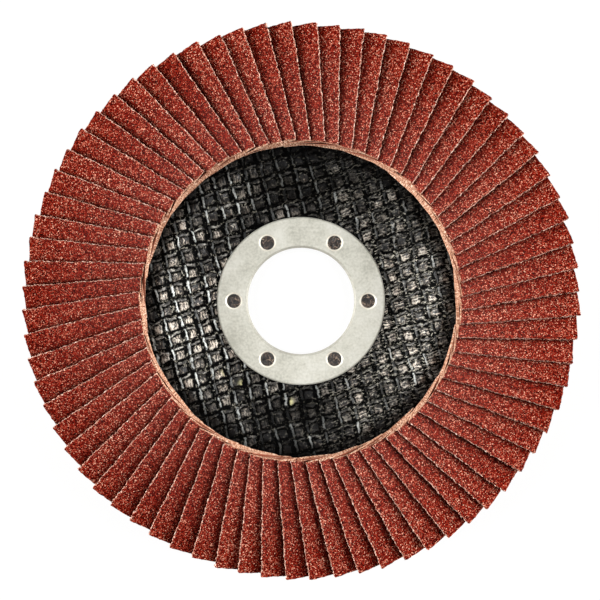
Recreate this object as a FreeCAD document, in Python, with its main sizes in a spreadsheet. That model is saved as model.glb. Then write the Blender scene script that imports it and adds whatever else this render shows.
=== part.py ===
# Flap disc for an angle grinder, 115 mm across, lying on its back with the abrasive side up.
# The origin is the centre of the bore on the flat back of the hub, and +Z points to the abrasive side.

import FreeCAD, Part
import math
import os
import Sketcher

# Driving dimensions, in millimetres, degrees and counts
SIZES = {
    "bore_diameter": 22.23,
    "collar_wall": 0.8,
    "ring_flange_width": 6.385,
    "ring_thickness": 0.8,
    "ring_seat_depth": 0.5,
    "ring_bore_break": 0.4,
    "ring_edge_break": 0.25,
    "ring_fit": 0.02,
    "hole_bore_distance": 2.885,
    "hole_diameter": 2.9,
    "hole_mouth_width": 0.35,
    "hole_mouth_depth": 0.3,
    "hole_count": 6,
    "plug_recess": 0.25,
    "disc_diameter": 115.0,
    "rim_overhang": 4.0,
    "plate_thickness": 2.2,
    "hub_margin": 3.5,
    "dish_depth": 6.5,
    "wall_slope": 40.0,
    "flange_slope": 10.0,
    "root_bend": 1.5,
    "crest_bend": 0.8,
    "rim_break": 0.3,
    "mesh_pitch": 3.14,
    "mesh_turn": 16.0,
    "mesh_gap": 0.8,
    "mesh_depth": 0.2,
    "mesh_inner_margin": 0.6,
    "mesh_outer_margin": 1.2,
    "bed_inner_margin": 2.0,
    "bed_outer_margin": 1.5,
    "bed_depth": 1.3,
    "bed_film": 0.05,
    "flap_count": 72,
    "flap_length": 25.1,
    "flap_width": 15.0,
    "flap_thickness": 0.85,
    "flap_gap": 0.05,
    "fan_turn": 1.4,
}

# Sizes that follow from the driving ones, each with its formula
DERIVED = {
    "bore_radius": "sizes.bore_diameter / 2",
    "collar_radius": "derived.bore_radius + sizes.collar_wall",
    "ring_radius": "derived.bore_radius + sizes.ring_flange_width",
    "hole_circle_radius": "derived.bore_radius + sizes.hole_bore_distance",
    "seat_height": "sizes.plate_thickness - sizes.ring_seat_depth",
    "ring_top": "derived.seat_height + sizes.ring_thickness",
    # The dish: the corners of its wall, where the flat faces would meet without their bends
    "root_radius": "derived.ring_radius + sizes.hub_margin",
    "crest_radius": "derived.root_radius + sizes.dish_depth / tan(sizes.wall_slope)",
    "crest_height": "sizes.plate_thickness + sizes.dish_depth",
    "disc_radius": "sizes.disc_diameter / 2",
    "plate_radius": "derived.disc_radius - sizes.rim_overhang",
    # Height on the axis at which the sloping face of the flange would come to a point
    "apex_height": "derived.crest_height + derived.crest_radius * tan(sizes.flange_slope)",
    "flap_step": "360 / sizes.flap_count",
    # The flaps are closest to one another at their buried inner corners, this far from the axis.
    "closest_radius": "derived.disc_radius - sizes.flap_length * cos(sizes.flange_slope)"
                      " - sizes.flap_width / 2 * sin(sizes.flange_slope)",
    # They lean on one another there, so their incline follows from their thickness and their step.
    "flap_incline": "asin(((sizes.flap_thickness + sizes.flap_gap) / (derived.flap_step * pi / 180)"
                    " + sizes.flap_width / 2 * sin(sizes.flange_slope)) / derived.closest_radius) / 1 deg",
    # A flap's free corner, seen from its middle: over it, square to the flange, and beside it
    "corner_rise": "sizes.flap_width / 2 * sin(derived.flap_incline)"
                   " + sizes.flap_thickness / 2 * cos(derived.flap_incline)",
    "corner_side": "sizes.flap_width / 2 * cos(derived.flap_incline)"
                   " - sizes.flap_thickness / 2 * sin(derived.flap_incline)",
    # The outer and inner ends of a flap, along the slope from the point on the axis
    "flap_outer": "(sqrt(derived.disc_radius ^ 2 - derived.corner_side ^ 2)"
                  " - derived.corner_rise * sin(sizes.flange_slope)) / cos(sizes.flange_slope)",
    "flap_inner": "derived.flap_outer - sizes.flap_length",
    "fan_apex_height": "derived.apex_height"
                       " + (sizes.bed_film + derived.corner_rise) / cos(sizes.flange_slope)",
    "bed_inner_radius": "derived.flap_inner * cos(sizes.flange_slope) + sizes.bed_inner_margin",
    "bed_outer_radius": "derived.plate_radius - sizes.bed_outer_margin",
    # The ring in which the glass mesh stands out under its resin
    "mesh_inner_radius": "derived.ring_radius + sizes.mesh_inner_margin",
    "mesh_outer_radius": "derived.crest_radius + sizes.mesh_outer_margin",
    "groove_count": "2 * round(derived.mesh_outer_radius / sizes.mesh_pitch)",
}


def start_document():
    """The document, with the sheet of driving sizes and the set of sizes that follow from them."""
    doc = FreeCAD.newDocument("flap_disc")
    sheet = doc.addObject("Spreadsheet::Sheet", "sizes")
    for row, (name, value) in enumerate(SIZES.items(), start=1):
        sheet.set(f"A{row}", name)
        sheet.set(f"B{row}", str(value))
        sheet.setAlias(f"B{row}", name)
    doc.recompute()
    derived = doc.addObject("App::VarSet", "derived")
    for name, formula in DERIVED.items():
        derived.addProperty("App::PropertyFloat", name)
        derived.setExpression(name, formula)
        doc.recompute()
    return doc


def number(owner, formula):
    """A formula's value as a plain number."""
    value = owner.evalExpression(formula)
    return float(getattr(value, "Value", value))


def origin_feature(body, role):
    """One of a body's own origin planes or axes."""
    return next(feature for feature in body.Origin.OriginFeatures if feature.Role == role)


def new_body(doc, name):
    body = doc.addObject("PartDesign::Body", name)
    doc.recompute()
    return body


def new_sketch(body, name, plane):
    sketch = body.newObject("Sketcher::SketchObject", name)
    sketch.AttachmentSupport = [(origin_feature(body, plane), "")]
    sketch.MapMode = "FlatFace"
    return sketch


def fix_point(sketch, line, end, across, up):
    """Tie one end of a line to its two formulas, measured from the sketch's origin."""
    horizontal_axis = -1
    vertical_axis = -2
    distances = (("DistanceX", across, vertical_axis), ("DistanceY", up, horizontal_axis))
    for axis_kind, formula, zero_axis in distances:
        value = number(sketch, formula)
        if abs(value) < 1e-9:
            sketch.addConstraint(Sketcher.Constraint("PointOnObject", line, end, zero_axis))
        else:
            made = sketch.addConstraint(Sketcher.Constraint(axis_kind, -1, 1, line, end, value))
            sketch.setExpression(f"Constraints[{made}]", formula)


def bend_arc(before, corner, after, radius):
    """The arc that rounds a corner, and whether it turns to the left."""
    back = (before - corner).normalize()
    ahead = (after - corner).normalize()
    half_angle = back.getAngle(ahead) / 2
    bisector = (back + ahead).normalize()
    centre = corner + bisector * (radius / math.sin(half_angle))
    reach = radius / math.tan(half_angle)
    start = corner + back * reach
    finish = corner + ahead * reach
    middle = centre - bisector * radius
    turns_left = (corner - before).cross(after - corner).z > 0
    return Part.Arc(start, middle, finish), start, finish, turns_left


def draw_outline(sketch, corners):
    """A closed outline through corners, each given by two formulas and, where it is bent, a radius."""
    places = [FreeCAD.Vector(number(sketch, corner[0]), number(sketch, corner[1]), 0) for corner in corners]
    bends = [corner[2] if len(corner) > 2 else None for corner in corners]
    starts = list(places)
    finishes = list(places)
    arcs = {}
    for index, bend in enumerate(bends):
        if bend is None:
            continue
        following = places[(index + 1) % len(places)]
        made = bend_arc(places[index - 1], places[index], following, number(sketch, bend))
        arcs[index] = made
        finishes[index], starts[index] = made[1], made[2]
    first = sketch.GeometryCount
    for index in range(len(corners)):
        following = (index + 1) % len(corners)
        sketch.addGeometry(Part.LineSegment(starts[index], finishes[following]), False)
    for index, corner in enumerate(corners):
        line = first + index
        line_before = first + (index - 1) % len(corners)
        if bends[index] is None:
            sketch.addConstraint(Sketcher.Constraint("Coincident", line_before, 2, line, 1))
            fix_point(sketch, line, 1, corner[0], corner[1])
            continue
        # A bent corner keeps the point where its two lines would meet, and the arc touches both lines.
        meeting = sketch.addGeometry(Part.Point(places[index]), True)
        fix_point(sketch, meeting, 1, corner[0], corner[1])
        sketch.addConstraint(Sketcher.Constraint("PointOnObject", meeting, 1, line_before))
        sketch.addConstraint(Sketcher.Constraint("PointOnObject", meeting, 1, line))
        curve, start, finish, turns_left = arcs[index]
        arc = sketch.addGeometry(curve, True)
        arc_start, arc_end = (1, 2) if turns_left else (2, 1)
        sketch.addConstraint(Sketcher.Constraint("Tangent", line_before, 2, arc, arc_start))
        sketch.addConstraint(Sketcher.Constraint("Tangent", arc, arc_end, line, 1))
        made = sketch.addConstraint(Sketcher.Constraint("Radius", arc, number(sketch, bends[index])))
        sketch.setExpression(f"Constraints[{made}]", bends[index])
        # The die presses the bend as a flat between the two ends of the arc.
        flat = sketch.addGeometry(Part.LineSegment(start, finish), False)
        sketch.addConstraint(Sketcher.Constraint("Coincident", line_before, 2, flat, 1))
        sketch.addConstraint(Sketcher.Constraint("Coincident", flat, 2, line, 1))


def draw_circle(sketch, across, up, radius):
    """A circle whose centre and radius follow three formulas."""
    centre = FreeCAD.Vector(number(sketch, across), number(sketch, up), 0)
    circle = sketch.addGeometry(Part.Circle(centre, FreeCAD.Vector(0, 0, 1), number(sketch, radius)), False)
    made = sketch.addConstraint(Sketcher.Constraint("Radius", circle, number(sketch, radius)))
    sketch.setExpression(f"Constraints[{made}]", radius)
    fix_point(sketch, circle, 3, across, up)


def revolve(body, name, sketch):
    """A full turn of a sketch about the disc's axis."""
    turned = body.newObject("PartDesign::Revolution", name)
    turned.Profile = sketch
    turned.ReferenceAxis = (origin_feature(body, "Z_Axis"), [""])
    turned.Angle = 360
    body.Document.recompute()
    return turned


def repeat_round(body, name, feature, count):
    """Copies of a feature, evenly spaced round the disc's axis."""
    pattern = body.newObject("PartDesign::PolarPattern", name)
    pattern.Originals = [feature]
    pattern.Axis = (origin_feature(body, "Z_Axis"), [""])
    pattern.Angle = 360
    pattern.setExpression("Occurrences", count)
    body.Tip = pattern
    body.Document.recompute()
    return pattern


def dish_corners(depth):
    """The dish's root and crest corners at a depth below its front face: across, up and bend radius."""
    half_turn = "((sizes.wall_slope + sizes.flange_slope) / 2)"
    mean_slope = "((sizes.wall_slope - sizes.flange_slope) / 2)"
    root = (f"derived.root_radius + {depth} * tan(sizes.wall_slope / 2)",
            f"sizes.plate_thickness - {depth}",
            f"sizes.root_bend + {depth}")
    crest = (f"derived.crest_radius + {depth} * sin({mean_slope}) / cos({half_turn})",
             f"derived.crest_height - {depth} * cos({mean_slope}) / cos({half_turn})",
             f"sizes.crest_bend + sizes.plate_thickness - {depth}")
    return root, crest


def make_plate_pressing(doc):
    """The plate without its mesh: a flat hub, a dished wall and a flange that slopes back to the rim."""
    body = new_body(doc, "plate_pressing")
    thickness = "sizes.plate_thickness"
    bore = "derived.collar_radius + sizes.ring_fit"
    recess = "derived.ring_radius + sizes.ring_fit"
    root, crest = dish_corners("0")
    root_back, crest_back = dish_corners(thickness)
    rim_height = "derived.apex_height - derived.plate_radius * tan(sizes.flange_slope)"
    rim_back = f"derived.plate_radius - {thickness} * sin(sizes.flange_slope)"
    rim_back_height = f"{rim_height} - {thickness} * cos(sizes.flange_slope)"
    section = new_sketch(body, "plate_section", "XZ_Plane")
    draw_outline(section, [
        (bore, "0"),
        root_back,
        crest_back,
        (f"{rim_back} - sizes.rim_break * cos(sizes.flange_slope)",
         f"{rim_back_height} + sizes.rim_break * sin(sizes.flange_slope)"),
        (f"{rim_back} + sizes.rim_break * sin(sizes.flange_slope)",
         f"{rim_back_height} + sizes.rim_break * cos(sizes.flange_slope)"),
        ("derived.plate_radius", rim_height),
        crest,
        root,
        (recess, thickness),
        (recess, "derived.seat_height"),
        (bore, "derived.seat_height"),
    ])
    revolve(body, "plate_turn", section)
    # Six plugs of resin that were pressed up through the holes of the centre ring
    plug_sketch = new_sketch(body, "plug_circle", "XY_Plane")
    plug_sketch.setExpression("AttachmentOffset.Base.z", "derived.seat_height")
    draw_circle(plug_sketch, "derived.hole_circle_radius", "0", "sizes.hole_diameter / 2 - sizes.ring_fit")
    plug = body.newObject("PartDesign::Pad", "resin_plug")
    plug.Profile = plug_sketch
    plug.setExpression("Length", "sizes.ring_thickness - sizes.plug_recess")
    doc.recompute()
    repeat_round(body, "resin_plugs", plug, "sizes.hole_count")
    return body


def make_groove_bars(doc):
    """Parallel upright bars across the dish, evenly spaced on both sides of the axis."""
    body = new_body(doc, "groove_bars")
    outline = new_sketch(body, "groove_outline", "XY_Plane")
    outline.setExpression("AttachmentOffset",
                          "placement(vector(0; 0; 0); rotation(vector(0; 0; 1); sizes.mesh_turn))"
                          " * placement(vector(0; -sizes.mesh_pitch * (derived.groove_count - 1) / 2; 0);"
                          " rotation(vector(0; 0; 1); 0))")
    reach = "derived.mesh_outer_radius + sizes.mesh_pitch"
    draw_outline(outline, [
        (f"-({reach})", "-sizes.mesh_gap / 2"),
        (reach, "-sizes.mesh_gap / 2"),
        (reach, "sizes.mesh_gap / 2"),
        (f"-({reach})", "sizes.mesh_gap / 2"),
    ])
    bar = body.newObject("PartDesign::Pad", "groove_bar")
    bar.Profile = outline
    bar.setExpression("Length", "2 * derived.crest_height")
    doc.recompute()
    bars = body.newObject("PartDesign::LinearPattern", "bars_side_by_side")
    bars.Originals = [bar]
    bars.Direction = (outline, ["V_Axis"])
    bars.setExpression("Length", "sizes.mesh_pitch * (derived.groove_count - 1)")
    bars.setExpression("Occurrences", "derived.groove_count")
    body.Tip = bars
    doc.recompute()
    return body


def make_backing_plate(doc):
    """The plate with the grooves between the yarns of its glass mesh, where the front face is bare."""
    pressing = make_plate_pressing(doc)
    skin = new_body(doc, "mesh_skin")
    section = new_sketch(skin, "skin_section", "XZ_Plane")
    root_below, crest_below = dish_corners("sizes.mesh_depth")
    root_above, crest_above = (corner[:2] for corner in dish_corners("-sizes.plate_thickness"))
    inner = "derived.mesh_inner_radius"
    outer = "derived.mesh_outer_radius"
    outer_front = f"derived.apex_height - {outer} * tan(sizes.flange_slope)"
    draw_outline(section, [
        (inner, "sizes.plate_thickness - sizes.mesh_depth"),
        root_below,
        crest_below,
        (outer, f"{outer_front} - sizes.mesh_depth / cos(sizes.flange_slope)"),
        (outer, f"{outer_front} + sizes.plate_thickness / cos(sizes.flange_slope)"),
        crest_above,
        root_above,
        (inner, "2 * sizes.plate_thickness"),
    ])
    revolve(skin, "skin_turn", section)
    grooves = doc.addObject("Part::Common", "mesh_grooves")
    grooves.Base = skin
    grooves.Tool = make_groove_bars(doc)
    plate = doc.addObject("Part::Cut", "backing_plate")
    plate.Base = pressing
    plate.Tool = grooves
    doc.recompute()
    return plate


def make_centre_ring(doc):
    """The stamped steel ring that lines the bore: a collar with a flange and six holes for the resin."""
    body = new_body(doc, "centre_ring")
    section = new_sketch(body, "ring_section", "XZ_Plane")
    draw_outline(section, [
        ("derived.bore_radius", "0"),
        ("derived.collar_radius", "0"),
        ("derived.collar_radius", "derived.seat_height"),
        ("derived.ring_radius", "derived.seat_height"),
        ("derived.ring_radius", "derived.ring_top - sizes.ring_edge_break"),
        ("derived.ring_radius - sizes.ring_edge_break", "derived.ring_top"),
        ("derived.bore_radius + sizes.ring_bore_break", "derived.ring_top"),
        ("derived.bore_radius", "derived.ring_top - sizes.ring_bore_break"),
    ])
    revolve(body, "ring_turn", section)
    # One hole with a drawn-in mouth, turned about its own upright axis and repeated round the ring
    centre = "derived.hole_circle_radius"
    edge = f"{centre} + sizes.hole_diameter / 2"
    hole_section = new_sketch(body, "hole_section", "XZ_Plane")
    foot = FreeCAD.Vector(number(hole_section, centre), number(hole_section, "derived.seat_height"), 0)
    head = FreeCAD.Vector(number(hole_section, centre), number(hole_section, "derived.ring_top"), 0)
    axis = hole_section.addGeometry(Part.LineSegment(foot, head), True)
    fix_point(hole_section, axis, 1, centre, "derived.seat_height")
    fix_point(hole_section, axis, 2, centre, "derived.ring_top")
    draw_outline(hole_section, [
        (centre, "derived.seat_height"),
        (edge, "derived.seat_height"),
        (edge, "derived.ring_top - sizes.hole_mouth_depth"),
        (f"{edge} + sizes.hole_mouth_width", "derived.ring_top"),
        (centre, "derived.ring_top"),
    ])
    hole = body.newObject("PartDesign::Groove", "ring_hole")
    hole.Profile = hole_section
    hole.ReferenceAxis = (hole_section, ["Axis0"])
    hole.Angle = 360
    doc.recompute()
    repeat_round(body, "ring_holes", hole, "sizes.hole_count")
    return body


def make_flap_blank(doc):
    """One flap, cut flat: its length lies along X, and its width and thickness are centred on that axis."""
    body = new_body(doc, "flap_blank")
    outline = new_sketch(body, "flap_outline", "XY_Plane")
    outline.setExpression("AttachmentOffset.Base.z", "-sizes.flap_thickness / 2")
    draw_outline(outline, [
        ("derived.flap_inner", "-sizes.flap_width / 2"),
        ("derived.flap_outer", "-sizes.flap_width / 2"),
        ("derived.flap_outer", "sizes.flap_width / 2"),
        ("derived.flap_inner", "sizes.flap_width / 2"),
    ])
    blank = body.newObject("PartDesign::Pad", "flap_cut")
    blank.Profile = outline
    blank.setExpression("Length", "sizes.flap_thickness")
    doc.recompute()
    return body


def place_flap(doc, name, blank, turn):
    """The flap leaned over about its own length, sloped with the flange and turned about the disc's axis."""
    flap = doc.addObject("App::Link", name)
    flap.LinkedObject = blank
    lean = "placement(vector(0; 0; 0); rotation(vector(1; 0; 0); derived.flap_incline * -1))"
    slope = "placement(vector(0; 0; derived.fan_apex_height); rotation(vector(0; 1; 0); sizes.flange_slope))"
    around = f"placement(vector(0; 0; 0); rotation(vector(0; 0; 1); {turn}))"
    flap.setExpression("Placement", f"{around} * {slope} * {lean}")
    return flap


def make_flap_pairs(doc):
    """The fan of overlapping flaps, two neighbouring flaps to a group."""
    blank = make_flap_blank(doc)
    first = place_flap(doc, "first_of_pair", blank, "derived.flap_step * 0.5 + sizes.fan_turn")
    second = place_flap(doc, "second_of_pair", blank, "derived.flap_step * 1.5 + sizes.fan_turn")
    count = SIZES["flap_count"]
    pairs = []
    for index in range(math.ceil(count / 2)):
        pair = doc.addObject("Part::Compound", f"flap_pair_{index + 1:02d}")
        pair.Links = [first, second][:count - 2 * index]
        pair.setExpression("Placement", f"placement(vector(0; 0; 0);"
                                        f" rotation(vector(0; 0; 1); derived.flap_step * {2 * index}))")
        pairs.append(pair)
    doc.recompute()
    return pairs


def make_adhesive_bed(doc, pairs):
    """The adhesive on the flange: one flat field to a flap, with a slot for every flap's buried edge."""
    body = new_body(doc, "bed_ring")
    field = new_sketch(body, "bed_field", "XY_Plane")
    field.setExpression("AttachmentOffset", "placement(vector(0; 0; derived.apex_height);"
                                            " rotation(vector(0; 1; 0); sizes.flange_slope))")
    # Half the field's width for each millimetre of distance from the axis
    spread = "tan(derived.flap_step / 2)"
    inner = "derived.bed_inner_radius"
    outer = "derived.bed_outer_radius"
    draw_outline(field, [
        (f"{inner} / cos(sizes.flange_slope)", f"-{inner} * {spread}"),
        (f"{outer} / cos(sizes.flange_slope)", f"-{outer} * {spread}"),
        (f"{outer} / cos(sizes.flange_slope)", f"{outer} * {spread}"),
        (f"{inner} / cos(sizes.flange_slope)", f"{inner} * {spread}"),
    ])
    block = body.newObject("PartDesign::Pad", "bed_block")
    block.Profile = field
    block.UseCustomVector = True
    block.Direction = FreeCAD.Vector(0, 0, 1)
    block.setExpression("Length", "sizes.bed_depth / cos(sizes.flange_slope)")
    doc.recompute()
    repeat_round(body, "bed_blocks", block, "sizes.flap_count")
    fan = doc.addObject("Part::Compound", "flap_fan")
    fan.Links = pairs
    bed = doc.addObject("Part::Cut", "adhesive_bed")
    bed.Base = body
    bed.Tool = fan
    doc.recompute()
    return bed


def check_document(doc, pieces):
    """Stop on any failed object or broken shape."""
    for item in doc.Objects:
        if "Invalid" in item.State or "Error" in item.State:
            raise RuntimeError(f"{item.Name} failed: {item.State}")
    for piece in pieces:
        if piece.Shape.isNull() or not piece.Shape.isValid():
            raise RuntimeError(f"{piece.Label} has no valid shape")


def write_pieces(pieces):
    os.makedirs("parts", exist_ok=True)
    for piece in pieces:
        piece.Shape.exportStep(f"parts/{piece.Label}.step")
        solids = piece.Shape.Solids
        print(piece.Label, len(solids), "solids", round(sum(solid.Volume for solid in solids), 3), "mm3")


document = start_document()
flap_pairs = make_flap_pairs(document)
all_pieces = [make_backing_plate(document), make_centre_ring(document)]
all_pieces.append(make_adhesive_bed(document, flap_pairs))
all_pieces.extend(flap_pairs)
for each_piece in all_pieces:
    each_piece.Label = each_piece.Name
document.recompute()
check_document(document, all_pieces)
write_pieces(all_pieces)
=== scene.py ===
# %% [markdown]
# # A flap disc, seen from its abrasive side
#
# The disc is a pressed glass-fibre plate with a steel ring in its middle and a fan of seventy-two strips of
# abrasive cloth glued round its flange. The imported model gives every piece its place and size. This script
# adds what the eye sees: the grit on the cloth, the frayed cut edges, the woven glass under its resin, and
# the zinc.

# %% Load the frame
import math

import bpy
import numpy as np
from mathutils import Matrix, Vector


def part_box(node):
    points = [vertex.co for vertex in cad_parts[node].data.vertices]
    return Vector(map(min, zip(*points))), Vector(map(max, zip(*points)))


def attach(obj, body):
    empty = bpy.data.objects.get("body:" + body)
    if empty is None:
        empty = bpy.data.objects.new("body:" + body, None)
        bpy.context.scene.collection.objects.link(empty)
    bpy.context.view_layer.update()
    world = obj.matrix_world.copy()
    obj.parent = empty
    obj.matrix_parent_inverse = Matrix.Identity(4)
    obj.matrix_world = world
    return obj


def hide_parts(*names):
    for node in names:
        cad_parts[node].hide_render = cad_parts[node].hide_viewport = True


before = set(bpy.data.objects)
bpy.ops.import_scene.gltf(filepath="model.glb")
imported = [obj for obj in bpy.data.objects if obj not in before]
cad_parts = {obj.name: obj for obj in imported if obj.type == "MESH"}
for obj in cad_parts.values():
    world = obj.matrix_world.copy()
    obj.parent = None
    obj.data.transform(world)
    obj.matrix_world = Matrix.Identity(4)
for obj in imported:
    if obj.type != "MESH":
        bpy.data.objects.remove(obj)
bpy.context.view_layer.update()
MM = 0.001
pair_names = sorted(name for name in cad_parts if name.startswith("flap_pair_"))
print("nodes:", len(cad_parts), "of which flap pairs:", len(pair_names))

# %% [markdown]
# ## Helpers for meshes
#
# Every new piece is a set of points worked out as whole numpy arrays, and a list of faces between them. One
# helper turns them into an object that sits at the origin, with its place in its mesh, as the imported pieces
# have.

# %% A mesh object from arrays
def mesh_object(name, points_mm, faces, materials, face_material=None, smooth=False):
    """An object from points in millimetres and a list of faces, with one material number to a face."""
    mesh = bpy.data.meshes.new(name)
    mesh.from_pydata((np.asarray(points_mm) * MM).tolist(), [], faces)
    for material in materials:
        mesh.materials.append(material)
    if face_material is not None:
        mesh.polygons.foreach_set("material_index", np.asarray(face_material, dtype=np.int32))
    mesh.polygons.foreach_set("use_smooth", np.full(len(mesh.polygons), smooth))
    mesh.update()
    piece = bpy.data.objects.new(name, mesh)
    bpy.context.scene.collection.objects.link(piece)
    return piece


def corner_uv(piece, name, uv):
    """Writes one (u, v) pair to each face corner."""
    layer = piece.data.uv_layers.new(name=name)
    layer.data.foreach_set("uv", np.asarray(uv, dtype=np.float32).ravel())


def point_data(piece, name, values):
    """Writes a number or a vector of three to each point, for a material to read by its name."""
    values = np.asarray(values, dtype=np.float32).reshape(len(piece.data.vertices), -1)
    kind, key = ("FLOAT_VECTOR", "vector") if values.shape[1] == 3 else ("FLOAT", "value")
    piece.data.attributes.new(name, kind, "POINT").data.foreach_set(key, values.ravel())


def loop_faces(rows, columns, close_rows=False):
    """Four-sided faces of a grid whose columns close on themselves, as rows x columns x 4 point numbers."""
    row = np.arange(rows if close_rows else rows - 1)[:, None]
    column = np.arange(columns)[None, :]
    next_row = (row + 1) % rows
    next_column = (column + 1) % columns
    corners = [row * columns + column, next_row * columns + column,
               next_row * columns + next_column, row * columns + next_column]
    return np.stack([np.broadcast_to(c, (len(row), columns)) for c in corners], axis=-1)


# %% [markdown]
# ## Helpers for materials
#
# A finish is a small net of nodes. One function adds a node with its settings, values and links, and
# another turns the hex colours that a painter would write into the linear values that the shader needs. The
# rest are short names for the nodes that every finish uses: sums, noise, colour ramps, and the shader at
# the end.

# %% Colour and node helpers
def linear(hex_colour):
    """An sRGB colour such as #8A3A2E as linear red, green, blue and alpha."""
    channels = [int(hex_colour[i:i + 2], 16) / 255 for i in (1, 3, 5)]
    return [c / 12.92 if c <= 0.04045 else ((c + 0.055) / 1.055) ** 2.4 for c in channels] + [1.0]


def add_node(tree, kind, inputs=None, **settings):
    """Adds a node. An input's value is a plain value, or a socket of another node to link from."""
    node = tree.nodes.new(kind)
    for key, value in settings.items():
        setattr(node, key, value)
    for key, value in (inputs or {}).items():
        if isinstance(value, bpy.types.NodeSocket):
            tree.links.new(value, node.inputs[key])
        else:
            node.inputs[key].default_value = value
    return node


def new_material(name):
    """An empty material and its tree, with the output node in place."""
    material = bpy.data.materials.new(name)
    material.use_nodes = True
    material.node_tree.nodes.clear()
    output = add_node(material.node_tree, "ShaderNodeOutputMaterial")
    return material, material.node_tree, output


def object_place(tree):
    """The place on the piece, in metres from the origin."""
    return add_node(tree, "ShaderNodeTexCoord").outputs["Object"]


def attribute(tree, name, output="Fac"):
    """What the mesh wrote at its points under this name."""
    return add_node(tree, "ShaderNodeAttribute", attribute_name=name).outputs[output]


# %% Sums of sockets
def calc(tree, operation, first, second=0.0):
    """One sum of two numbers or sockets."""
    return add_node(tree, "ShaderNodeMath", {0: first, 1: second}, operation=operation).outputs[0]


def times(tree, first, second):
    """The product of two numbers or sockets."""
    return calc(tree, "MULTIPLY", first, second)


def total(tree, *terms):
    """The sum of numbers or sockets. A term may be a pair of a socket and its weight."""
    terms = [times(tree, *term) if isinstance(term, tuple) else term for term in terms]
    result = terms[0]
    for term in terms[1:]:
        result = calc(tree, "ADD", result, term)
    return result


def left_over(tree, share):
    """What a share from 0 to 1 leaves of the whole."""
    return calc(tree, "SUBTRACT", 1.0, share)


def vector_calc(tree, operation, first, second=(0.0, 0.0, 0.0)):
    """One sum of two vectors."""
    return add_node(tree, "ShaderNodeVectorMath", {0: first, 1: second}, operation=operation).outputs[0]


def split(tree, vector):
    """The outputs X, Y and Z of a vector."""
    return add_node(tree, "ShaderNodeSeparateXYZ", {"Vector": vector}).outputs


def map_range(tree, value, low, high, at_low=0.0, at_high=1.0, kind="LINEAR"):
    """A value carried from low and high to the values at them, and held beyond both."""
    node = add_node(tree, "ShaderNodeMapRange", {
        "Value": value, "From Min": low, "From Max": high, "To Min": at_low, "To Max": at_high},
        interpolation_type=kind)
    return node.outputs[0]


def soft_band(tree, value, centre, half, edge):
    """1 within half of the centre, falling to 0 over the edge beyond it."""
    away = calc(tree, "ABSOLUTE", calc(tree, "SUBTRACT", value, centre))
    return map_range(tree, away, half, half + edge, 1.0, 0.0, "SMOOTHSTEP")


# %% Noise, colours and the shader
def noise(tree, place, scale, detail, roughness=0.5, distortion=0.0):
    """The outputs of a cloudy noise: one number, Fac, and a Color of three."""
    return add_node(tree, "ShaderNodeTexNoise", {
        "Vector": place, "Scale": scale, "Detail": detail,
        "Roughness": roughness, "Distortion": distortion}).outputs


def mix_colour(tree, share, base, over):
    """A base colour with another laid over it by a share from 0 to 1. Colours are sockets or hex colours."""
    pair = [linear(colour) if isinstance(colour, str) else colour for colour in (base, over)]
    node = add_node(tree, "ShaderNodeMix", {0: share, 6: pair[0], 7: pair[1]}, data_type="RGBA")
    return node.outputs[2]


def ramp(tree, factor, stops):
    """A colour ramp through (position, hex colour) stops."""
    node = add_node(tree, "ShaderNodeValToRGB", {"Fac": factor})
    elements = node.color_ramp.elements
    while len(elements) < len(stops):
        elements.new(0.5)
    for element, (position, colour) in zip(elements, stops):
        element.position = position
        element.color = linear(colour)
    return node.outputs["Color"]


def cover(tree, output, colour, height, strength, depth_mm, **shader_inputs):
    """Ends a finish with a bump of the given depth and a shader.

    The other values go to the shader's inputs of the same names, with spaces for underscores.
    """
    bump = add_node(tree, "ShaderNodeBump", {
        "Height": height, "Strength": strength, "Distance": depth_mm * MM})
    inputs = {"Base Color": colour, "Normal": bump.outputs["Normal"]}
    inputs.update({key.replace("_", " "): value for key, value in shader_inputs.items()})
    shader = add_node(tree, "ShaderNodeBsdfPrincipled", inputs)
    tree.links.new(shader.outputs[0], output.inputs["Surface"])


# %% [markdown]
# ## Where each flap stands
#
# A packed pair of flaps holds two flat boxes. The eight corners of a box give its middle and its three
# axes: the longest runs outwards along the disc, the next across the flap to its free edge, and the
# shortest is the thickness. A singular value decomposition finds all three at once.

# %% Read the flaps from the frame
def flap_frames(node_name):
    """Middle, axes and sizes in millimetres of the two boxes in a pair node."""
    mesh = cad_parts[node_name].data
    points = np.empty(len(mesh.vertices) * 3)
    mesh.vertices.foreach_get("co", points)
    halves = np.split(points.reshape(-1, 3) / MM, 2)
    found = []
    for half in halves:
        corners = np.unique(np.round(half, 4), axis=0)
        middle = corners.mean(axis=0)
        axes = np.linalg.svd(corners - middle)[2]
        outward = axes[0] * np.sign(axes[0] @ (middle * (1, 1, 0)))
        upward = axes[2] * np.sign(axes[2][2])
        across = np.cross(outward, upward)
        size = [np.ptp((corners - middle) @ axis) for axis in (outward, across, upward)]
        found.append((middle, outward, across, upward, size))
    return found


flaps = [flap for name in pair_names for flap in flap_frames(name)]
FLAP_LENGTH, _, FLAP_THICKNESS = (float(v) for v in flaps[0][4])
STEP = 2 * math.pi / len(flaps)
print("flaps:", len(flaps), "size mm:", [round(v, 3) for v in flaps[0][4]])

# %% [markdown]
# ## The abrasive cloth
#
# Each flap is strong cotton cloth with sharp grains of aluminium oxide, held in a red-brown resin. Seen
# close, every grain has its own tone: most are brick red, and some nearly black where resin pools between
# them. The finish divides the surface into small cells and gives each its own tone, and a finer set of
# cells breaks the tones up again. Some cells are painted pale pink: a painted highlight, where a broken
# face would turn to the light.

# %% Grit: red-brown grains in resin
TONE_CELL_MM, CHIP_CELL_MM = 0.18, 0.13


def cell_tone(tree, place, cell_mm, channel):
    """A random number to each cell: one colour channel of a cell pattern."""
    cells = add_node(tree, "ShaderNodeTexVoronoi", {"Vector": place, "Scale": 1 / (cell_mm * MM)})
    return add_node(tree, "ShaderNodeSeparateColor", {"Color": cells.outputs["Color"]}).outputs[channel]


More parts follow.
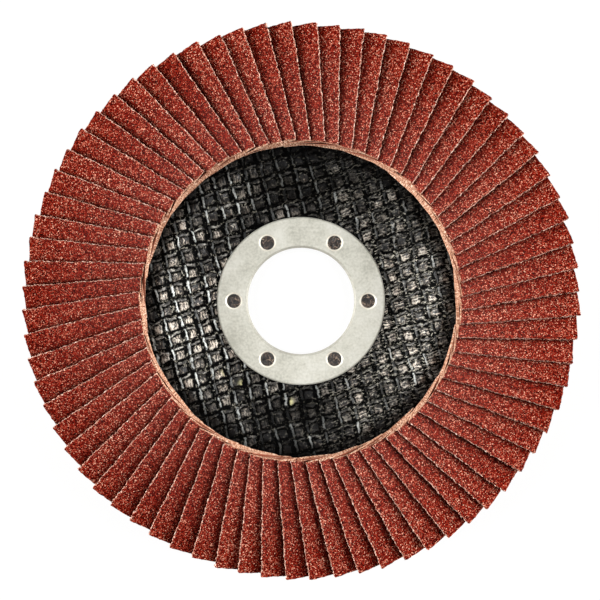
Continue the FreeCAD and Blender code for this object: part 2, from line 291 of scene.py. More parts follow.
def make_grit_material():
    """Cells carry the tone, finer cells break it up, and both roughen the light.

    The inner ends are a trace paler. Where the next flap lies on this one, the grit is painted dark near
    that flap's edge: painted shade.
    """
    material, tree, output = new_material("aluminium_oxide_grit_in_red_resin")
    place = object_place(tree)
    grain = cell_tone(tree, place, TONE_CELL_MM, "Red")
    chip = cell_tone(tree, place, CHIP_CELL_MM, "Green")
    # The palest stop, pale pink, is painted highlight on the grains
    colour = ramp(tree, total(tree, (grain, 0.85), (chip, 0.15), attribute(tree, "flap_tone")), [
        (0.05, "#080000"), (0.22, "#320300"), (0.50, "#600A02"),
        (0.74, "#862111"), (0.87, "#A85A45"), (1.00, "#FAC2A6"),
    ])
    colour = mix_colour(tree, times(tree, attribute(tree, "inward"), 0.03), colour, "#E0A8A0")
    # Painted shade, near black, where the edge of the next flap lies over the grit
    colour = mix_colour(tree, times(tree, attribute(tree, "painted_crevice_shade"), 0.9), colour, "#0C0200")
    cover(tree, output, colour, total(tree, grain, chip), 0.5, 0.05, Roughness=0.75, Specular_IOR_Level=0.02)
    return material


# %% [markdown]
# The cut edges and the back of a flap show the bare cotton: cream, a little browned by the glue that was
# soaked into it, with threads that run along the cut. The inner ends were trimmed with a knife after the
# flaps had been laid, so they look like the edge of plywood: pale cloth, and a thin dark line of resin and
# grit on each layer.

# %% Cloth: cream cotton, soaked with size
def make_cloth_material(name, stops, thread_mm, coat_line=False):
    """Threads are noise stretched along the cut. With a coat line, the top of the cut is dark resin."""
    material, tree, output = new_material(name)
    uv = add_node(tree, "ShaderNodeUVMap", uv_map="flap_mm").outputs["UV"]
    stretched = add_node(tree, "ShaderNodeMapping", {
        "Vector": uv, "Scale": (1 / thread_mm[0], 1 / thread_mm[1], 1)})
    threads = noise(tree, stretched.outputs[0], 1.0, 3.0, 0.65)["Fac"]
    colour = ramp(tree, threads, stops)
    if coat_line:
        ragged = total(tree, split(tree, uv)["Y"], (threads, 0.35))
        in_coat = map_range(tree, ragged, FLAP_THICKNESS / 2 + 0.08, FLAP_THICKNESS / 2 + 0.2)
        colour = mix_colour(tree, in_coat, colour, "#8A4632")
    cover(tree, output, colour, threads, 0.5, 0.1, Roughness=0.85, Specular_IOR_Level=0.2)
    return material


grit = make_grit_material()
cut_edge = make_cloth_material("cut_cotton_edge", [
    (0.40, "#3A0E06"), (0.49, "#944A36"), (0.55, "#E4B49C"), (0.64, "#FFF0E2")], (0.8, 0.25))
cut_end = make_cloth_material("knife_cut_cotton_end", [
    (0.34, "#4A2014"), (0.44, "#9C644A"), (0.54, "#CA9C80"), (0.66, "#F8E0C8")], (0.32, 0.9), coat_line=True)
cloth_back = make_cloth_material("sized_cotton_back", [
    (0.25, "#8C6A50"), (0.5, "#B08E70"), (0.75, "#C8AA8C")], (0.5, 0.5))
print("cloth finishes:", grit.name, cut_edge.name, cut_end.name, cloth_back.name)

# %% [markdown]
# ## Grains as a surface
#
# The grains stand about 0.22 mm apart. The cloth is divided into squares of that size with one grain
# somewhere in each. A point of the surface belongs to the grain that stands highest there, so the grains
# meet in sharp valleys, as broken stones do.

# %% Heights of the grains
GRAIN_MM = 0.22
GRAIN_ROUND = 1.3
LOWEST, HIGHEST = -0.4, 1.4
TABLE = 512
dice = np.random.default_rng(7)
grain_place = dice.random((TABLE, TABLE, 2))
grain_top = dice.random((TABLE, TABLE))
grain_lean = dice.normal(0, 0.5, (TABLE, TABLE, 2))


def grit_surface(u, v):
    """Height (0 to about 1) of the grit at u, v in millimetres.

    Over the nine squares round a point: height = the grain's top - 1.3 x distance squared + its lean x
    offset, in units of one grain, and the highest grain wins.
    """
    gu, gv = u / GRAIN_MM, v / GRAIN_MM
    iu, iv = np.floor(gu).astype(int), np.floor(gv).astype(int)
    best = np.full(gu.shape, LOWEST)
    for du in (-1, 0, 1):
        for dv in (-1, 0, 1):
            cu, cv = (iu + du) % TABLE, (iv + dv) % TABLE
            offset_u = gu - (iu + du) - grain_place[cu, cv, 0]
            offset_v = gv - (iv + dv) - grain_place[cu, cv, 1]
            height = (grain_top[cu, cv] - GRAIN_ROUND * (offset_u ** 2 + offset_v ** 2)
                      + grain_lean[cu, cv, 0] * offset_u + grain_lean[cu, cv, 1] * offset_v)
            best = np.maximum(best, height)
    return np.minimum(best, HIGHEST)


def waves(x, lengths, heights, shifts):
    """A sum of sine waves of the given lengths and heights, for edges that no knife cut quite straight."""
    return sum(h * np.sin(2 * math.pi * (x / length + shift))
               for length, h, shift in zip(lengths, heights, shifts))


# %% [markdown]
# ## One flap
#
# A flap's section is a thin rectangle. Its outline is a closed loop of points: over the grit from the
# buried edge to the free edge, down the cut edge, and back under the cloth. The loop is carried along the
# flap's length. Only the strip that the next flap leaves bare needs fine points, so the loop is dense there
# and coarse elsewhere. Where the cut edge frays, single threads of cream cotton reach up beside the grit.

# %% Sizes of a flap
ROWS, COVERED, BARE, UNDER = 128, 4, 31, 3
# The strip with fine points is as wide as the step between flaps, with this much to spare
BARE_SPARE, BARE_MORE_MM = 1.12, 0.3
GRIT_MM = 0.045
COAT_MM = 0.3
# How far and how steeply the painted shade reaches from the edge of the next flap
CREVICE_SHADE_MM, CREVICE_SHADE_POWER = 0.6, 1.6
# Each flap takes its grains from another place of the table
PATTERN_START, PATTERN_STEP = (40, 20), 31
# Waves as their lengths and heights in millimetres, and the jitter from one thread to the next
FREE_WAVES, FREE_JITTER = ([11.0, 4.3, 1.7, 0.7], [0.05, 0.04, 0.04, 0.04]), 0.045
SAG_WAVES, SAG_REACH = ([48.0, 21.0], [0.08, 0.05]), 2.5
INNER_WAVES, INNER_JITTER = ([7.0, 2.5], [0.05, 0.04]), 0.08
OUTER_WAVES, OUTER_JITTER = ([9.0, 2.0], [0.05, 0.03]), 0.035
COAT_JITTER = 0.03
UNDERCUT, UNDERCUT_JITTER = 0.06, 0.05
# The share of rows with a loose thread, and how it swings along the edge
TUFT_WAVES, TUFT_SHARE, TUFT_SWING, TUFT_LEAST = ([9.0, 3.8], [0.7, 0.5]), 0.18, 0.4, -0.35
TONE_JITTER = 0.012
# The knife ran round on a cone, which stands this far from the axis at this height and leans outwards
KNIFE_RADIUS = 32.12
KNIFE_HEIGHT = 8.1
KNIFE_LEAN = math.radians(8)
print("points to a flap:", ROWS * (COVERED + BARE + 2 + UNDER))


# %% Shape of a flap
def knife_cut(base, outward, offset):
    """How far along the flap, from each base point, the knife's cone lies, in three steps by the slope."""
    along = np.full(base.shape[:-1], -FLAP_LENGTH / 2)
    for _ in range(3):
        place = base + along[..., None] * outward
        radius = np.hypot(place[..., 0], place[..., 1])
        miss = radius - KNIFE_RADIUS - offset - (place[..., 2] - KNIFE_HEIGHT) * math.tan(KNIFE_LEAN)
        rate = (place[..., :2] @ outward[:2]) / radius - outward[2] * math.tan(KNIFE_LEAN)
        along = along - miss / rate
    return along


def flap_loop(number, u, distance, size, rng):
    """The closed loop (v, w) at each row u, and how far its points on the grit lie from the free edge.

    Over the grit w = half the thickness + height of the grains + sag. Then come the two points of the cut
    edge, where the coat ends and where the cloth ends, and the points of the back.
    """
    _, width, thickness = size
    bare_width = distance * STEP * BARE_SPARE + BARE_MORE_MM
    covered = np.linspace(0, 1, COVERED, endpoint=False)[None, :]
    bare = np.linspace(0, 1, BARE)[None, :]
    top_v = np.concatenate([-width / 2 + (width - bare_width) * covered,
                            width / 2 - bare_width + bare_width * bare], axis=1)
    grains = grit_surface(u + PATTERN_START[0] + PATTERN_STEP * number, top_v + PATTERN_START[1])
    from_edge = width / 2 - top_v
    free_wave = waves(u, *FREE_WAVES, rng.random(4)) + rng.normal(0, FREE_JITTER, (ROWS, 1))
    sag = waves(u, *SAG_WAVES, rng.random(2)) * np.clip(1 - from_edge / SAG_REACH, 0, 1) ** 2
    top_w = thickness / 2 + GRIT_MM * (grains - 0.5) + sag
    top_v = top_v + free_wave * (from_edge < 0.01)
    edge_v = width / 2 + free_wave + np.concatenate(
        [rng.normal(0, COAT_JITTER, (ROWS, 1)), rng.normal(-UNDERCUT, UNDERCUT_JITTER, (ROWS, 1))], axis=1)
    edge_w = np.concatenate([thickness / 2 - COAT_MM + sag[:, -1:], -thickness / 2 + sag[:, -1:]], axis=1)
    under_v = np.broadcast_to(np.array([[width / 4, -width / 4, -width / 2]]), (ROWS, UNDER))
    under_w = np.full((ROWS, UNDER), -thickness / 2)
    return (np.concatenate([top_v, edge_v, under_v], axis=1),
            np.concatenate([top_w, edge_w, under_w], axis=1), from_edge)


def flap_rows(flap, share, loop_v, loop_w, rng):
    """The place u of every point along the flap: inner end + (outer end - inner end) x share.

    The inner ends lie on the knife's cone, and the outer ends keep the ragged cut of the strip.
    """
    middle, outward, across, upward, (length, _, thickness) = flap
    columns = loop_v.shape[1]
    first_base = middle + loop_v[0][:, None] * across + loop_w[0][:, None] * upward
    ragged = rng.normal(0, INNER_JITTER, columns) + waves(loop_v[0], *INNER_WAVES, rng.random(2))
    inner_u = knife_cut(first_base, outward, rng.normal(0, INNER_JITTER)) + ragged
    outer_u = length / 2 + rng.normal(0, OUTER_JITTER, columns) + waves(
        loop_v[-1], *OUTER_WAVES, rng.random(2)) * (loop_w[-1] > -thickness / 4)
    return inner_u + (outer_u - inner_u) * share


def flap_kinds(u, columns, rng):
    """The material of each face: grit, then the coat and the cut edge, the back and the buried edge."""
    top_columns = COVERED + BARE - 1
    kind = np.full((ROWS - 1, columns), 3)
    kind[:, :top_columns + 1] = 0
    kind[:, [top_columns + 1, columns - 1]] = 1
    # Loose threads come in tufts, where the knife dragged
    swing = np.clip(waves(u[1:, 0], *TUFT_WAVES, rng.random(2)), TUFT_LEAST, 1)
    kind[rng.random(ROWS - 1) < TUFT_SHARE + TUFT_SWING * swing, top_columns] = 1
    return kind


# %% A flap as an object
def make_flap(number, flap, rng):
    """Point = middle + u x outward + v x across + w x upward, for a closed loop (v, w) at each u."""
    middle, outward, across, upward, size = flap
    length, _, thickness = size
    share = np.linspace(0, 1, ROWS)[:, None]
    u = (share - 0.5) * length
    distance = math.hypot(middle[0], middle[1]) + u
    loop_v, loop_w, from_edge = flap_loop(number, u, distance, size, rng)
    loop_u = flap_rows(flap, share, loop_v, loop_w, rng)
    columns = loop_v.shape[1]
    points = (middle + loop_u[..., None] * outward + loop_v[..., None] * across
              + loop_w[..., None] * upward).reshape(-1, 3)
    grid = loop_faces(ROWS, columns)[:, ::-1].reshape(-1, 4)
    ends = [list(range(columns)), list(range((ROWS - 1) * columns, ROWS * columns))[::-1]]
    kind = flap_kinds(u, columns, rng)[:, ::-1].reshape(-1)
    piece = mesh_object(f"flap_{number + 1:02d}", points, grid.tolist() + ends,
                        [grit, cut_edge, cut_end, cloth_back], np.concatenate([kind, [2, 2]]))
    # The map in millimetres: along the flap and round its section on the sides, across and up on the ends
    shift = PATTERN_STEP * number
    across_the_cut = np.concatenate([np.zeros(COVERED + BARE), [COAT_MM, thickness], np.zeros(UNDER)])
    u_flat, v_flat = (loop_u + shift).reshape(-1), (loop_v + across_the_cut).reshape(-1)
    grid_uv = np.stack([u_flat[grid], v_flat[grid]], axis=-1).reshape(-1, 2)
    end_points = np.concatenate(ends)
    end_uv = np.stack([v_flat[end_points] + shift, loop_w.reshape(-1)[end_points]], axis=-1)
    corner_uv(piece, "flap_mm", np.concatenate([grid_uv, end_uv]))
    # Painted shade: the grit darkens by how near each point lies to the edge of the flap above it
    next_edge = distance * STEP / math.cos(math.asin(across[2]))
    painted_crevice_shade = np.zeros(loop_u.shape)
    painted_crevice_shade[:, :COVERED + BARE] = np.exp(
        -np.clip((next_edge - from_edge) / CREVICE_SHADE_MM, 0, 9) ** CREVICE_SHADE_POWER)
    point_data(piece, "painted_crevice_shade", painted_crevice_shade)
    point_data(piece, "inward", np.broadcast_to(1 - share, loop_u.shape))
    point_data(piece, "flap_tone", np.full(len(points), rng.normal(0, TONE_JITTER)))
    return piece


# %% [markdown]
# ## The fan
#
# The flaps were laid by a machine, one every five degrees, but cloth isn't steel: each one landed a little
# out of true. Each flap turns and slides by a small random amount about the place that the frame gives it.

# %% Make all the flaps
TURN_JITTER, TURN_MOST = 0.1, 0.2
SLIDE_JITTER, SLIDE_MOST = 0.12, 0.25
flap_dice = np.random.default_rng(21)
for index, (middle, outward, across, upward, size) in enumerate(flaps):
    turn = math.radians(np.clip(flap_dice.normal(0, TURN_JITTER), -TURN_MOST, TURN_MOST))
    slide = np.clip(flap_dice.normal(0, SLIDE_JITTER), -SLIDE_MOST, SLIDE_MOST)
    spin = np.array([[math.cos(turn), -math.sin(turn), 0], [math.sin(turn), math.cos(turn), 0], [0, 0, 1]])
    moved = (spin @ (middle + slide * outward), spin @ outward, spin @ across, spin @ upward, size)
    piece = make_flap(index, moved, flap_dice)
    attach(piece, "root")
    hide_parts(pair_names[index // 2])
print("flaps made:", len(flaps), "triangles each:", sum(len(p.vertices) - 2 for p in piece.data.polygons))

# %% [markdown]
# ## The woven glass
#
# The plate is pressed from layers of glass mesh soaked in dark phenolic resin. It is a gauze weave: on the
# abrasive side each cell, 3.3 mm by 3.1 mm, shows a thin tight yarn that stands upright, a broad flat
# pillow of yarn beside it, and a short end of the cross yarn above. Between them the resin is deep and
# black. The cloth was laid in at an angle of about sixteen degrees. Its height is a function of the place
# on the plate. The same cell coordinates go to the material as an attribute, so the colours sit on the
# yarns that the mesh raises.

# %% Cells of the weave
COLUMN_PITCH = 3.34
ROW_PITCH = 3.14
ROW_TURN = math.radians(16)
COLUMN_TURN = math.radians(104)
COLUMN_SHIFT = 1.52
ROW_SHIFT = -0.06
# Places and half sizes in a cell, as shares of the pitch
BAR_PLACE, BAR_HALF = 0.10, 0.085
BAR_END, BAR_TAPER = 0.47, 0.12
PILLOW_PLACE, PILLOW_HALF = 0.51, 0.27
PILLOW_DROP, PILLOW_TALL = -0.13, 0.29
PILLOW_SHIFT, PILLOW_LEAN = 0.10, 0.6
CROSS_PLACE, CROSS_HALF = 0.31, 0.095
YARN_HEIGHT = 0.34
# Heights as shares of that: the least, and what the cell's dice add
BAR_TOP, PILLOW_TOP, CROSS_TOP = (0.6, 0.4), (0.45, 0.35), 0.5
# The slow wobble of the yarns: height, length along x, length along y and shift of each wave
WOBBLE_U = [(0.22, math.inf, 6.1, 1.3), (0.14, 5.0, 2.3, 0.0), (0.07, 0.9, 1.1, 0.0)]
WOBBLE_V = [(0.22, 5.7, math.inf, 0.4), (0.12, 2.1, -4.0, 0.0), (0.09, 0.8, -1.9, 0.0)]
weave_dice = np.random.default_rng(5)
cell_random = weave_dice.random((TABLE, TABLE, 4))


def wobble(x, y, terms):
    """The sum of height x sin(x / length along x + y / length along y + shift)."""
    return sum(height * np.sin(x / along_x + y / along_y + shift)
               for height, along_x, along_y, shift in terms)


def weave_cells(x, y):
    """Cell coordinates at x, y in millimetres: whole numbers count cells, and fractions run across one cell.

    u = (place across the columns) / pitch and v = (place across the rows) / pitch, each with a slow wobble.
    """
    across_columns = (x * math.sin(COLUMN_TURN) - y * math.cos(COLUMN_TURN) + COLUMN_SHIFT
                      + wobble(x, y, WOBBLE_U))
    across_rows = y * math.cos(ROW_TURN) - x * math.sin(ROW_TURN) - ROW_SHIFT + wobble(x, y, WOBBLE_V)
    return across_columns / COLUMN_PITCH + BAR_PLACE, across_rows / ROW_PITCH + 0.5


def cell_dice(u, v):
    """Four random numbers for the cell at u, v."""
    return cell_random[np.floor(u).astype(int) % TABLE, np.floor(v).astype(int) % TABLE]


def weave_height(x, y):
    """Height in millimetres of the yarns at x, y.

    Within a cell: a round bar, 1 - (distance / half width)^2, a pillow, 1 - |a|^3 - |b|^3 with a and b
    running from -1 to 1 over it, and a low end of cross yarn. The highest of the three wins.
    """
    u, v = weave_cells(x, y)
    dice_at = cell_dice(u, v)
    fu, fv = u - np.floor(u), v - np.floor(v) - 0.5
    bar = (np.clip(1 - ((fu - BAR_PLACE) / BAR_HALF) ** 2, 0, 1)
           * np.clip((BAR_END - np.abs(fv)) / BAR_TAPER, 0, 1))
    side, rise = dice_at[..., 1] - 0.5, dice_at[..., 2] - 0.5
    a = (fu - PILLOW_PLACE - PILLOW_SHIFT * side) / PILLOW_HALF
    b = (fv - PILLOW_DROP - PILLOW_SHIFT * rise) / PILLOW_TALL
    pillow = np.clip(1 - np.abs(a) ** 3 - np.abs(b) ** 3, 0, 1) * (1 + PILLOW_LEAN * (side * a + rise * b))
    cross = np.clip(1 - ((fv - CROSS_PLACE) / CROSS_HALF) ** 2, 0, 1) * np.clip(1 - a ** 6, 0, 1)
    return YARN_HEIGHT * np.maximum.reduce([
        bar * (BAR_TOP[0] + BAR_TOP[1] * dice_at[..., 0]),
        pillow * (PILLOW_TOP[0] + PILLOW_TOP[1] * dice_at[..., 3]), CROSS_TOP * cross])


print("weave: cells of", COLUMN_PITCH, "by", ROW_PITCH, "mm, yarns", YARN_HEIGHT, "mm high")

# %% [markdown]
# The resin skin is nearly black where it lies deep between the yarns. Over a yarn it is thin: the tight
# bars look silver grey, the pillows grey to beige, with fine lines where single strands of glass lie side
# by side. The material works out the same bar, pillow and cross yarn from the cell coordinates, at its own
# finer scale. Over them lie loose strands, pits of black resin, and small white glints, which are painted
# highlight.

# %% Plate finish: the yarns of one cell
def yarn_shares(tree, fu, fv, dice_at):
    """How much of the bar, the pillow and the cross yarn shows at a place in the cell, each from 0 to 1."""
    bar = times(tree, soft_band(tree, fu, BAR_PLACE, BAR_HALF * 0.45, BAR_HALF * 0.5),
                soft_band(tree, fv, 0.0, 0.33, 0.10))
    # No two pillows lie quite alike
    pillow_u = total(tree, fu, (dice_at["Y"], -0.10))
    pillow_v = total(tree, fv, (dice_at["X"], -0.16))
    pillow = times(
        tree, soft_band(tree, pillow_u, PILLOW_PLACE - 0.05, PILLOW_HALF * 0.72, PILLOW_HALF * 0.3),
        soft_band(tree, pillow_v, PILLOW_DROP - 0.08, PILLOW_TALL * 0.68, PILLOW_TALL * 0.3))
    # The cross yarns wave up and down as they pass over and under
    wave = calc(tree, "SINE", times(tree, total(tree, fu, dice_at["X"]), 2 * math.pi))
    cross = times(tree, soft_band(tree, total(tree, fv, (wave, -0.05)), CROSS_PLACE,
                                  CROSS_HALF * 0.5, CROSS_HALF * 0.5),
                  soft_band(tree, fu, PILLOW_PLACE, PILLOW_HALF * 0.8, PILLOW_HALF * 0.5))
    return bar, pillow, cross


def drawn_noise(tree, cells, across, along, roughness=0.5):
    """Noise drawn out along the yarns, with so many spots to a cell across the columns and along them."""
    drawn = vector_calc(tree, "MULTIPLY", cells, (across, along, 0.0))
    return noise(tree, drawn, 1.0, 2.0, roughness)["Fac"]


def left_or_right(tree, left, right, buried):
    """The left value where the bars lie open, and the right one where they are buried."""
    return total(tree, (left, left_over(tree, buried)), (right, buried))


def ribs(tree, fu, fv, fray, buried):
    """Strands side by side, from -1 to 1: upright in the pillows on the left, lying on the right."""
    bent = times(tree, fray, 9.0)
    upright = calc(tree, "SINE", total(tree, (fu, 12 * math.pi), bent))
    lying = calc(tree, "SINE", total(tree, (fv, 10 * math.pi), bent))
    return left_or_right(tree, upright, lying, buried)


def shown(tree, yarn, buried, loss, bare, power):
    """What shows of a yarn: its share x (1 - loss x buried) x bare to a power."""
    kept = times(tree, yarn, left_over(tree, times(tree, buried, loss)))
    return times(tree, kept, calc(tree, "POWER", bare, power))


# %% Plate finish: phenolic resin over glass yarn
def make_plate_material():
    """Bar, pillow and cross yarn of each cell, frayed by noise, over black resin.

    The mesh gives the cell coordinates, the dice of each cell, how bare the yarns are, with painted light on
    the two sides and painted shade elsewhere, and how deep the bars are buried. Tones are weighted sums of
    noises, and colours are laid over one another from the resin up.
    """
    material, tree, output = new_material("phenolic_resin_over_glass_mesh")
    place = object_place(tree)
    dice_at = split(tree, attribute(tree, "weave_dice", "Vector"))
    bare = attribute(tree, "weave_shown_with_painted_light")
    buried = attribute(tree, "bars_buried")
    fray = noise(tree, place, 1 / (1.2 * MM), 5.0, 0.75)
    blots = noise(tree, place, 1 / (0.75 * MM), 3.0, 0.7)["Fac"]
    cells = vector_calc(tree, "ADD", attribute(tree, "weave_cell", "Vector"),
                        vector_calc(tree, "MULTIPLY", fray["Color"], (0.40, 0.40, 0.0)))
    centred = vector_calc(tree, "ADD", cells, (-0.20, -0.20, 0.0))
    part = split(tree, vector_calc(tree, "FRACTION", centred))
    fu, fv = part["X"], total(tree, part["Y"], -0.5)
    bar, pillow, cross = yarn_shares(tree, fu, fv, dice_at)
    strands = drawn_noise(tree, cells, 9.0, 1.5)
    lying = drawn_noise(tree, cells, 1.6, 9.0)
    # The tones of the three yarns. Where little of the weave shows, at the top and the bottom, the pillows
    # are painted grey instead of beige, and on the two sides they are painted lighter: painted shade and
    # painted light
    rib = ribs(tree, fu, fv, fray["Fac"], buried)
    # Painted shade: each pillow is darker toward its upper side
    tone = total(tree, (strands, 1.5), (blots, 1.3), (lying, 0.9), (rib, 0.25), (dice_at["Y"], 0.55), -1.76,
                 (fv, -0.6), (bare, 0.20))
    pillow_colour = mix_colour(tree, left_over(tree, bare), ramp(tree, tone, [
        (0.26, "#040303"), (0.42, "#1A1511"), (0.57, "#564A3F"), (0.73, "#AC9E8E"), (0.88, "#E8DCCC")]),
        "#2C2C2D")
    cross_colour = ramp(tree, lying, [(0.38, "#0A0908"), (0.50, "#6E6A65"), (0.66, "#DCD8CE")])
    bar_colour = ramp(tree, total(tree, (strands, 0.9), dice_at["Z"], (buried, -0.35)), [
        (0.35, "#0E0E0E"), (0.75, "#6A6C6B"), (1.00, "#ECF0EC")])
    # The pillows show only by the mesh's share, which carries the painted side light and the painted shade
    colour = mix_colour(tree, times(tree, pillow, bare), "#020202", pillow_colour)
    colour = mix_colour(tree, shown(tree, cross, buried, 0.45, bare, 1.4), colour, cross_colour)
    colour = mix_colour(tree, shown(tree, bar, buried, 0.2, bare, 1.3), colour, bar_colour)
    # Loose strands: the borders of large stretched cells, where a coarse noise lets them show
    strand_cells = add_node(tree, "ShaderNodeTexVoronoi", {
        "Vector": vector_calc(tree, "MULTIPLY", centred, (1.3, 3.1, 0.0)), "Scale": 1.0},
        feature="DISTANCE_TO_EDGE")
    loose = map_range(tree, strand_cells.outputs["Distance"], 0.02, 0.07, 0.8, 0.0)
    loose = times(tree, loose, times(tree, map_range(tree, blots, 0.54, 0.62), bare))
    colour = mix_colour(tree, loose, colour, "#C2BCAC")
    # Pits and painted glints are short strokes: upright on the left, lying on the right. The glints are
    # painted highlight, white specks laid into the colour
    strokes = left_or_right(tree, drawn_noise(tree, cells, 10.0, 3.5, 0.6),
                            drawn_noise(tree, cells, 3.5, 10.0, 0.6), buried)
    colour = mix_colour(tree, map_range(tree, strokes, 0.38, 0.47, 0.9, 0.0), colour, "#030303")
    painted_glints = map_range(tree, total(tree, strokes, (buried, 0.05)), 0.63, 0.70, 0.0, 0.8)
    colour = mix_colour(tree, times(tree, painted_glints, bare), colour, "#CFCABC")
    fleck = times(tree, times(tree, attribute(tree, "glue_fleck"), pillow), total(tree, blots, 0.6))
    colour = mix_colour(tree, fleck, colour, "#D8D29A")
    raised = calc(tree, "MAXIMUM", calc(tree, "MAXIMUM", bar, pillow), cross)
    cover(tree, output, colour, total(tree, (raised, 0.8), (strands, 0.6), (fray["Fac"], 1.6)), 1.0, 0.2,
          Roughness=0.3, Specular_IOR_Level=total(tree, (times(tree, raised, bare), 0.5), 0.02))
    return material


# %% Plugs: bare resin with a few strands in it
def make_plug_material():
    """Tangled strands, drawn by a distorted noise, in dark resin."""
    material, tree, output = new_material("bare_phenolic_resin")
    strands = noise(tree, object_place(tree), 1 / (0.9 * MM), 5.0, 0.75, 1.5)["Fac"]
    colour = ramp(tree, strands, [
        (0.40, "#030201"), (0.50, "#160D09"), (0.57, "#4C3A2E"), (0.66, "#B8A48E")])
    cover(tree, output, colour, strands, 0.8, 0.2, Roughness=0.4)
    return material


plate_resin = make_plate_material()
plug_resin = make_plug_material()
print("plate finishes:", plate_resin.name, plug_resin.name)

# %% [markdown]
# ## The backing plate
#
# The plate's section is a closed outline of straight runs joined by bends: the hub, the dished wall, the
# sloping flange, the rim and the same again on the back. It is turned about the axis, and the weave is
# added square to the surface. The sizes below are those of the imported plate, and the frame gives the radii
# of ring and rim.

# %% Section of the plate
ring_low, ring_high = (np.array(corner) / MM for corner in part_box("centre_ring"))
RING_RADIUS = ring_high[0]
PLATE_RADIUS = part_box("backing_plate")[1][0] / MM
PLATE_THICKNESS = 2.2
SEAT_DEPTH = 0.5
COLLAR_RADIUS = 11.915
FIT = 0.02
ROOT_RADIUS = RING_RADIUS + 3.5
DISH_DEPTH = 6.5
WALL_SLOPE = math.radians(40)
FLANGE_SLOPE = math.radians(10)
ROOT_BEND = 1.5
CREST_BEND = 3.0
RIM_BEND = 0.3
BEND_POINTS = 8
crest_radius = ROOT_RADIUS + DISH_DEPTH / math.tan(WALL_SLOPE)
crest_height = PLATE_THICKNESS + DISH_DEPTH
rim_height = crest_height - (PLATE_RADIUS - crest_radius) * math.tan(FLANGE_SLOPE)
half_turn = (WALL_SLOPE + FLANGE_SLOPE) / 2
mean_slope = (WALL_SLOPE - FLANGE_SLOPE) / 2
rim_back = (PLATE_RADIUS - PLATE_THICKNESS * math.sin(FLANGE_SLOPE),
            rim_height - PLATE_THICKNESS * math.cos(FLANGE_SLOPE))
crest_back = (crest_radius + PLATE_THICKNESS * math.sin(mean_slope) / math.cos(half_turn),
              crest_height - PLATE_THICKNESS * math.cos(mean_slope) / math.cos(half_turn))
root_back = (ROOT_RADIUS + PLATE_THICKNESS * math.tan(WALL_SLOPE / 2), 0.0)


def outline_points(corners):
    """Points along straight runs between corners (radius, height, bend, spacing of the run that follows).

    A bend is an arc that touches both runs.
    """
    places = [np.array(corner[:2], dtype=float) for corner in corners]
    bends, spacings = [corner[2] for corner in corners], [corner[3] for corner in corners]
    stops = []
    befores, afters = [places[-1]] + places[:-1], places[1:] + [places[0]]
    for before, place, after, bend in zip(befores, places, afters, bends):
        if bend == 0:
            stops.append(place[None, :])
            continue
        back = (before - place) / np.linalg.norm(before - place)
        ahead = (after - place) / np.linalg.norm(after - place)
        half = math.acos(float(np.clip(back @ ahead, -1, 1))) / 2
        centre = place + (back + ahead) / np.linalg.norm(back + ahead) * bend / math.sin(half)
        start, finish = place + back * bend / math.tan(half), place + ahead * bend / math.tan(half)
        chord = start + (finish - start) * np.linspace(0, 1, BEND_POINTS)[:, None] - centre
        stops.append(centre + chord / np.linalg.norm(chord, axis=1)[:, None] * bend)
    points = []
    for stop, following, spacing in zip(stops, stops[1:] + [stops[0]], spacings):
        points.append(stop[:-1])
        run = following[0] - stop[-1]
        count = max(1, int(round(np.linalg.norm(run) / spacing)))
        points.append(stop[-1] + run * (np.arange(count) / count)[:, None])
    return np.concatenate(points)


section = outline_points([
    (COLLAR_RADIUS + FIT, 0, 0, 1.0),
    (*root_back, ROOT_BEND + PLATE_THICKNESS, 1.0),
    (*crest_back, CREST_BEND - PLATE_THICKNESS, 1.0),
    (*rim_back, RIM_BEND, 0.6),
    (PLATE_RADIUS, rim_height, RIM_BEND, 4.0),
    (crest_radius, crest_height, CREST_BEND, 0.2),
    (ROOT_RADIUS, PLATE_THICKNESS, ROOT_BEND, 0.2),
    (RING_RADIUS + FIT, PLATE_THICKNESS, 0, 0.5),
    (RING_RADIUS + FIT, PLATE_THICKNESS - SEAT_DEPTH, 0, 3.0),
    (COLLAR_RADIUS + FIT, PLATE_THICKNESS - SEAT_DEPTH, 0, 0.9),
])
print("points in the section:", len(section))

# %% [markdown]
# The six holes of the ring are filled by plugs of the same resin, which was pressed into them. The yarns
# of the plate are painted to show more on the left and right sides, as the side lamps would light them,
# and less at the top and the bottom: painted light and painted shade. On the right-hand half the upright
# yarns sank deeper into the resin, and three flecks of yellow glue fell on it when the flaps were set.

# %% Plugs in the holes of the ring
HOLE_COUNT = 6
PLUG_RADIUS = 1.43
PLUG_CIRCLE = (ring_high[0] - ring_low[0]) * 0.4
PLUG_TOP = PLATE_THICKNESS + 0.05
PLUG_SIDES = 32
PLUG_ROUGH = 0.04
# Circles of a plug, from its foot to the middle of its top: share of the radius, and height over the top
PLUG_RINGS = np.array([
    (1.0, -0.6), (1.0, -0.08), (0.93, 0.0), (0.72, 0.0), (0.5, 0.0), (0.25, 0.0), (0.02, 0.0)])


def plug_surface(turn, rng):
    """A lid of resin in one hole: circles about the plug's axis, up the side and over a rough top."""
    share, level = PLUG_RINGS[:, :1], PLUG_RINGS[:, 1:]
    angle = np.linspace(0, 2 * math.pi, PLUG_SIDES, endpoint=False)[None, :]
    rough = rng.normal(0, PLUG_ROUGH, (len(PLUG_RINGS), PLUG_SIDES)) * (level == 0.0)
    x = PLUG_CIRCLE * math.cos(turn) + PLUG_RADIUS * share * np.cos(angle)
    y = PLUG_CIRCLE * math.sin(turn) + PLUG_RADIUS * share * np.sin(angle)
    grid = loop_faces(len(PLUG_RINGS), PLUG_SIDES)[:, :, ::-1].reshape(-1, 4).tolist()
    last = len(PLUG_RINGS) * PLUG_SIDES
    lids = [list(range(PLUG_SIDES))[::-1], list(range(last - PLUG_SIDES, last))]
    return np.stack([x, y, PLUG_TOP + level + rough], axis=-1).reshape(-1, 3), grid + lids


